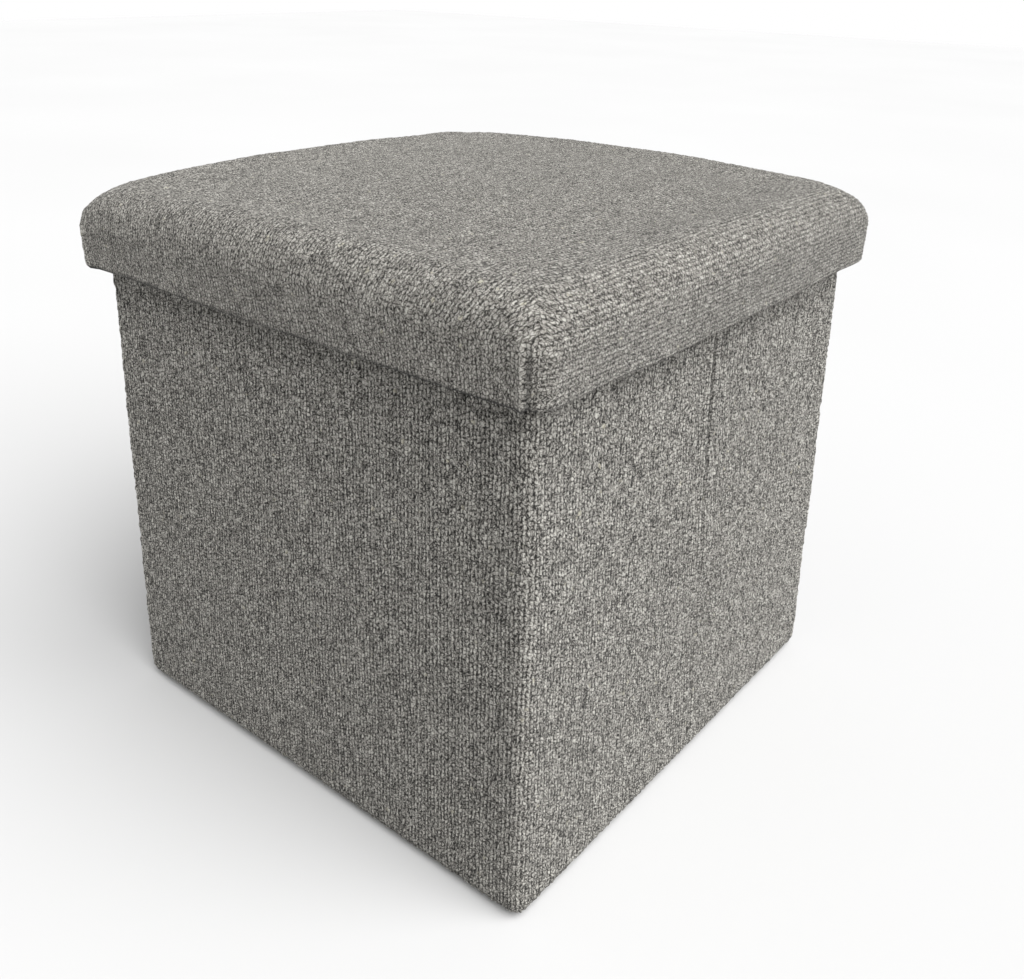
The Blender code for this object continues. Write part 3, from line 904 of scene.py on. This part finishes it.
lid_low, lid_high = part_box("lid_cover")
lid_half, lid_foot, lid_top = lid_high[0], lid_low[2], lid_high[2]
SHOULDER_WIDE, SHOULDER_FOOT = 0.0218, 0.346
CROWN = 0.0053
LID_DROP = 0.0027  # middle of the top below the frame's highest point
LID_CORNER, CORNER_GROWTH = 0.0125, 1.15
PUFF, PUFF_WIDTH, PUFF_POWER = 0.0058, 0.030, 2.3  # fullness of the shoulders between corners
PUFF_AT = 0.45  # where it is fullest, as a share of the way over the shoulder
SECTION_STEPS = 40  # on the top, and again on the shoulder
LIP = 0.0028
LEAN = 0.0007  # how far the side comes in towards its lower edge
TURNED_IN = 0.0110
LID_BACK = 0.0008
SEAM_START_Z = 0.353


def lid_section(layer):
    """The lid's section from the middle of the top outwards and down: half width and height."""
    edge = lid_half - LID_BACK - layer
    flat = lid_half - LID_BACK - SHOULDER_WIDE
    top = lid_top - LID_DROP - layer
    points = []
    crown_at_edge = CROWN * (edge / flat) ** 2
    tall = top - crown_at_edge - SHOULDER_FOOT
    for h in np.linspace(0, flat, SECTION_STEPS, endpoint=False):
        points.append((h, top - CROWN * (h / flat) ** 2))
    for angle in np.linspace(0, QUARTER, SECTION_STEPS):
        h = flat + (edge - flat) * math.sin(angle)
        drop = CROWN * (h / flat) ** 2
        points.append((h, top - drop - tall * (1 - math.cos(angle))))
    lip_z = lid_foot + LIP
    for share in np.linspace(0, 1, 12)[1:]:
        points.append((edge - LEAN * share**1.5, SHOULDER_FOOT + (lip_z - SHOULDER_FOOT) * share))
    for point in arc((edge - LEAN - LIP, lip_z), LIP, 0.0, -1.0, 10)[1:]:
        points.append(point)
    points.append((lid_half - TURNED_IN, lid_foot))
    return np.array(points)


def lengths_along(points):
    return np.r_[0, np.cumsum(np.linalg.norm(np.diff(points, axis=0), axis=1))]


cover_section = lid_section(0.0)
cover_lengths = lengths_along(cover_section)
cover_normals = -section_normals(cover_section)
on_shoulder = slice(SECTION_STEPS, 2 * SECTION_STEPS)
shoulder_start, shoulder_end = cover_lengths[on_shoulder][[0, -1]]
puff_middle = shoulder_start + PUFF_AT * (shoulder_end - shoulder_start)
seam_start = float(
    np.interp(-SEAM_START_Z, -cover_section[on_shoulder, 1], cover_lengths[on_shoulder])
)
cloth_end = float(cover_lengths[-1])


def ring_radius(half):
    """Corner radius of the ring round the lid at this half width."""
    grown = LID_CORNER + CORNER_GROWTH * (lid_half - half)
    return np.minimum(grown, 0.5 * half)


def cloth_ring_radius(s, half):
    """Corner radius of the same ring in the flat cloth, which is square where the seams start."""
    eased = np.clip((s - 0.55 * seam_start) / (0.45 * seam_start), 0, 1)
    return ring_radius(half) * (1 - eased**2 * (3 - 2 * eased))


def past_ring(near, far, s):
    """How far a point of the flat cloth lies outside ring s."""
    half = np.interp(s, cover_lengths, cover_section[:, 0])
    radius = cloth_ring_radius(s, half)
    over_far, over_near = far - (s - radius), near - (s - radius)
    inside = np.maximum(over_far, over_near) - radius
    rounded = np.hypot(np.maximum(over_far, 0), np.maximum(over_near, 0)) - radius
    return np.where((over_far > 0) & (over_near > 0), rounded, inside)


def over_the_lid(u, v):
    """Where a point of the flat cloth lies on the lid: its place and its outward direction."""
    a, b = np.abs(u), np.abs(v)
    far, near = np.maximum(a, b), np.minimum(a, b)
    low, high = far.copy(), far * 1.45 + 1e-6
    for _ in range(26):
        middle = (low + high) / 2
        outside = past_ring(near, far, middle) > 0
        low, high = np.where(outside, middle, low), np.where(outside, high, middle)
    on_top = far <= seam_start + 1e-9
    s = np.where(on_top, np.minimum((low + high) / 2, seam_start), far)
    half = np.interp(s, cover_lengths, cover_section[:, 0])
    radius = cloth_ring_radius(s, half) * on_top
    flat_run = np.maximum(s - radius, 0)
    angle = np.arctan2(np.maximum(near - flat_run, 0), np.maximum(far - flat_run, 1e-9))
    run = np.where(near <= flat_run, near, flat_run + radius * angle)
    whole = np.where(on_top, flat_run + radius * math.pi / 4, seam_start)
    share = np.clip(run / np.maximum(whole, 1e-9), 0, 1)
    round_radius = ring_radius(half)
    straight = half - round_radius
    at = share * (straight + round_radius * math.pi / 4)
    turn = np.clip((at - straight) / np.maximum(round_radius, 1e-9), 0, math.pi / 4)
    along = np.where(at <= straight, at, straight + round_radius * np.sin(turn))
    out = np.where(at <= straight, half, straight + round_radius * np.cos(turn))
    face_out, face_along = np.cos(turn), np.sin(turn)
    side_on = a >= b
    sign_u, sign_v = np.where(u < 0, -1.0, 1.0), np.where(v < 0, -1.0, 1.0)
    x = sign_u * np.where(side_on, out, along)
    y = sign_v * np.where(side_on, along, out)
    facing_x = sign_u * np.where(side_on, face_out, face_along)
    facing_y = sign_v * np.where(side_on, face_along, face_out)
    z = np.interp(s, cover_lengths, cover_section[:, 1])
    normal_out = np.interp(s, cover_lengths, cover_normals[:, 0])
    normal_up = np.interp(s, cover_lengths, cover_normals[:, 1])
    place = np.stack([x, y, z], -1)
    facing = np.stack([facing_x * normal_out, facing_y * normal_out, normal_up], -1)
    facing /= np.linalg.norm(facing, axis=-1, keepdims=True)
    puff = PUFF * np.exp(-(((s - puff_middle) / PUFF_WIDTH) ** 2)) * (1 - share**PUFF_POWER)
    return place + facing * puff[..., None], facing, s


def even_steps(step):
    """Steps over the cloth, with one exactly where the seams start; and how many to the seams."""
    to_seam = int(round(seam_start / step))
    below = max(int(round((cloth_end - seam_start) / step)), 4)
    above_seam = np.linspace(0, seam_start, to_seam + 1)
    below_seam = np.linspace(seam_start, cloth_end, below + 1)[1:]
    half = np.r_[above_seam, below_seam]
    return np.r_[-half[::-1], half[1:]], to_seam


SEAM_GROOVE, SEAM_RIB = 0.0009, 0.0013
# The seam's groove is darkened with painted shade, and the rib beside it is made paler with a
# painted highlight.
SEAM_PAINTED_SHADE, SEAM_RIB_PAINTED_HIGHLIGHT = 0.75, 0.5
SEAM_AT = 0.0052  # the seam is drawn round on to the plain sides
RIB_AT = SEAM_AT + 0.0030  # the turned edge stands up beside it
HELD_AT_SEAM = 0.003  # the ribs run straight this near a seam
RELAXED_RELIEF = 0.30
relaxed_cloth_finish = looped_cloth("looped_cloth_relaxed", 0.35, RELAXED_RELIEF)
LIP_PAINTED_SHADE = {"plain": 0.95, "folding": 0.10}  # painted shade under the lower edge of the skirt


LID_LOOPS = 0.52  # the loops stand lower where the cloth is not stretched


def lid_cloth():
    u, u_seam = even_steps(RIB / 2)
    v = even_steps(ROW)[0]
    shape = (len(v), len(u))
    out, along, across, loop = loops_of(shape, u_seam % 2, seed=81)
    flat_u, flat_v = np.meshgrid(u, v)
    far = np.maximum(np.abs(flat_u), np.abs(flat_v))
    near = np.minimum(np.abs(flat_u), np.abs(flat_v))
    free = (far <= cloth_end - 1e-9) & (near <= seam_start - HELD_AT_SEAM)
    side = np.abs(flat_u) > np.abs(flat_v)
    sway_u, sway_v = across * free, along * free
    place, facing, s = over_the_lid(flat_u + sway_u, flat_v + sway_v)
    below = np.clip((s - seam_start + 0.006) / 0.012, 0, 1)
    from_seam = seam_start - near
    groove = -SEAM_GROOVE * bump_at(from_seam, SEAM_AT, 0.0012) * ~side
    rib = SEAM_RIB * bump_at(from_seam, RIB_AT, 0.0016) * ~side
    seam = (groove + rib) * below
    soft = 0.0004 * cloud(shape, (30, 44), 91) + 0.00025 * cloud(shape, (11, 15), 92)
    under = np.clip((place[..., 2] - lid_foot) / 0.004, 0.0, 1.0)
    hang = 0.0007 * cloud(shape, (16, 24), 93) * np.clip((s - seam_start) / 0.03, 0, 1)
    loops = out * (0.25 + 0.75 * under) * LID_LOOPS
    moved = place + facing * (loops + seam + soft * under)[..., None]
    moved[..., 2] += hang * np.clip((cloth_end - s) / 0.01, 0, 1)
    cloth_place = np.stack([flat_u + sway_u, flat_v + sway_v, 0 * flat_u], -1)
    quads = grid_faces(*shape)
    kept = (near <= seam_start + 1e-9).ravel()
    quads = quads[kept[quads].all(axis=1)]
    used = np.unique(quads)
    renumber = np.full(near.size, -1)
    renumber[used] = np.arange(len(used))
    # Painted shade under the skirt's lip, uneven along it, and painted shade in the seams' grooves.
    lip_painted_shade = np.where(side, LIP_PAINTED_SHADE["folding"], LIP_PAINTED_SHADE["plain"])
    uneven = 0.90 + 0.25 * cloud(shape, (2, 9), 94)
    lip_low = lid_foot + LIP * (0.92 + 0.12 * cloud(shape, (1, 14), 95))
    in_shade = np.clip((lip_low - place[..., 2]) / 0.0009, 0, 1) * (s > seam_start)
    seam_painted_shade = SEAM_PAINTED_SHADE * bump_at(from_seam, SEAM_AT, 0.0011) * below * ~side
    loop = loop + SEAM_RIB_PAINTED_HIGHLIGHT * bump_at(from_seam, RIB_AT, 0.0014) * below * ~side
    fold = np.clip(np.maximum(in_shade * lip_painted_shade * uneven, seam_painted_shade), 0, 1)
    carried = {
        "cloth_place": cloth_place.reshape(-1, 3)[used],
        "loop": loop.ravel()[used],
        "fold": fold.ravel()[used],
    }
    points = moved.reshape(-1, 3)[used]
    return cloth_piece("lid_cover_cloth", points, renumber[quads], relaxed_cloth_finish, carried)


lid_cover = lid_cloth()
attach(lid_cover, "lid")
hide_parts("lid_cover")


def foam():
    """Soft cream foam, open-celled, a little darker where the air has reached it."""
    made = Finish("cream_foam", Roughness=0.9, Specular_IOR_Level=0.2)
    place = made.where()
    cells = made.cells(place, 0.9).rise(0.1, 0.6)
    clouds = made.noise(place, 40.0, detail=3.0)
    colour = made.mix(cells, (0.74, 0.69, 0.54), (0.56, 0.50, 0.37))
    colour = made.mix(clouds.rise(0.35, 0.8) * 0.4, colour, (0.62, 0.52, 0.33))
    return made.look(colour, 0.85 + cells * 0.1, 1 - cells, depth=0.25)


def foam_pad():
    foam_low, foam_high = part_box("lid_foam")
    layer, foot = lid_top - foam_high[2], foam_low[2]
    section = lid_section(layer)
    section = section[section[:, 1] >= foot]
    rings = walk(section[3:], 0.006)[0]
    rings = np.concatenate([rings, [(rings[-1][0] - 0.0005, foot)]])
    points = []
    for half, z in rings:
        radius = float(ring_radius(half)) - layer * 0.5
        ring = []
        for corner in range(4):
            turn = corner * QUARTER
            ahead = np.array([math.cos(turn), math.sin(turn)])
            out = np.array([ahead[1], -ahead[0]])
            for at in np.linspace(-(half - radius), half - radius, 30, endpoint=False):
                ring.append((*(ahead * at + out * half), z))
            for angle in np.linspace(0, QUARTER, 8, endpoint=False):
                centre = (ahead + out) * (half - radius)
                turned = out * math.cos(angle) + ahead * math.sin(angle)
                ring.append((*(centre + radius * turned), z))
        points.append(ring)
    points = np.array(points)
    rows, cols = points.shape[:2]
    last = (rows - 1) * cols
    caps = [list(range(cols)), list(range(last, last + cols))[::-1]]
    faces = grid_faces(rows, cols, close_cols=True, turned=True).tolist() + caps
    return cloth_piece("lid_foam_pad", points, faces, foam())


pad = foam_pad()
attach(pad, "lid")
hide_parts("lid_foam")

# ---- Lining of the lid ---------------------------------------------------------------------
# Black spun cloth covers the underside of the lid board and runs down inside the rim, over the
# raw edge of the cover. It is stapled along the rim.

lining_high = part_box("lid_lining")[1]
LINING_ROUND = 0.002  # how it rounds from the board down on to the rim


def lid_lining():
    inner = lining_high[0] - 0.0006
    under = lining_high[2] - 0.0006
    section = [(0.02, under), (inner - LINING_ROUND, under)]
    for angle in np.linspace(0, QUARTER, 6)[1:]:
        across = inner - LINING_ROUND + LINING_ROUND * math.sin(angle)
        section.append((across, under - LINING_ROUND + LINING_ROUND * math.cos(angle)))
    section += [(inner, lid_foot + 0.0003), (inner + 0.0012, lid_foot - 0.0001)]
    section += [(inner + 0.0030, lid_foot - 0.0002)]
    rings = np.concatenate([walk(section, LINING_STEP)[0], section])
    rings = np.array(sorted(set(map(tuple, rings)), key=lambda ring: (-ring[1], ring[0])))
    rings = rings[np.argsort(rings[:, 0] - rings[:, 1] * 4)]
    share = np.linspace(-1, 1, 60, endpoint=False)
    points = []
    for half, z in rings:
        side = [(f * half, -half, z) for f in share] + [(half, f * half, z) for f in share]
        side += [(-f * half, half, z) for f in share] + [(-half, -f * half, z) for f in share]
        points.append(side)
    points = np.array(points)
    rows, cols = points.shape[:2]
    faces = grid_faces(rows, cols, close_cols=True).tolist() + [list(range(cols))[::-1]]
    return cloth_piece("lid_lining_cloth", points, faces, spun_cloth_finish)


inside_lid = lid_lining()
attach(inside_lid, "lid")
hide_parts("lid_lining")

# ---- Room ----------------------------------------------------------------------------------
# A pale floor under soft, even studio light. The brightest lamp stands high on the right.

scene = bpy.context.scene
scene.view_settings.view_transform = "Standard"
FLOOR_HALF = 8.0
FLOOR_STEPS = 3


def pale_floor():
    paint = Finish("pale_floor", Roughness=0.9, Specular_IOR_Level=0.1)
    clouds = paint.noise(paint.where(), 900.0)
    return paint.look(paint.mix(clouds, (0.59, 0.59, 0.59), (0.63, 0.63, 0.63)))


span = np.linspace(-FLOOR_HALF, FLOOR_HALF, FLOOR_STEPS)
floor_points = [(x, y, 0.0) for y in span for x in span]
floor = cloth_piece("studio_floor", floor_points, grid_faces(FLOOR_STEPS, FLOOR_STEPS), pale_floor())

SKY_TO_THINGS, SKY_SEEN = 0.40, 1.0
world = bpy.data.worlds.new("studio")
scene.world = world
world.use_nodes = True
background = world.node_tree.nodes["Background"]
background.inputs["Color"].default_value = (1, 1, 1, 1)
path_of_light = world.node_tree.nodes.new("ShaderNodeLightPath")
strength = world.node_tree.nodes.new("ShaderNodeMapRange")
strength.inputs["To Min"].default_value = SKY_TO_THINGS
strength.inputs["To Max"].default_value = SKY_SEEN
world.node_tree.links.new(path_of_light.outputs["Is Camera Ray"], strength.inputs["Value"])
world.node_tree.links.new(strength.outputs["Result"], background.inputs["Strength"])

SUN = (0.610, -0.095, 0.787)  # from the ottoman towards the light
SUN_STRENGTH = 4.9
SUN_SPREAD = math.radians(64)
sun_data = bpy.data.lights.new("studio_lamp", "SUN")
sun_data.energy = SUN_STRENGTH
sun_data.angle = SUN_SPREAD
sun = bpy.data.objects.new("studio_lamp", sun_data)
sun.rotation_euler = Vector(SUN).to_track_quat("Z", "Y").to_euler()
scene.collection.objects.link(sun)

# The camera looks down a little on the corner between the front and the right side.
CAMERA_PLACE = (0.45811, -0.54767, 0.51321)
CAMERA_RIGHT = (0.77550731, 0.63100091, 0.02064587)
CAMERA_UP = (-0.22389971, 0.24430484, 0.94349566)
CAMERA_BACK = (0.59030274, -0.73631039, 0.33074111)
camera_data = bpy.data.cameras.new("camera")
camera_data.sensor_width = 36.0
camera_data.lens = 37.93
camera_data.shift_x = 0.0036
camera_data.shift_y = -0.1469
camera = bpy.data.objects.new("camera", camera_data)
axes = zip(CAMERA_RIGHT, CAMERA_UP, CAMERA_BACK, CAMERA_PLACE)
camera.matrix_world = Matrix([*axes, (0, 0, 0, 1)])
scene.collection.objects.link(camera)
scene.camera = camera
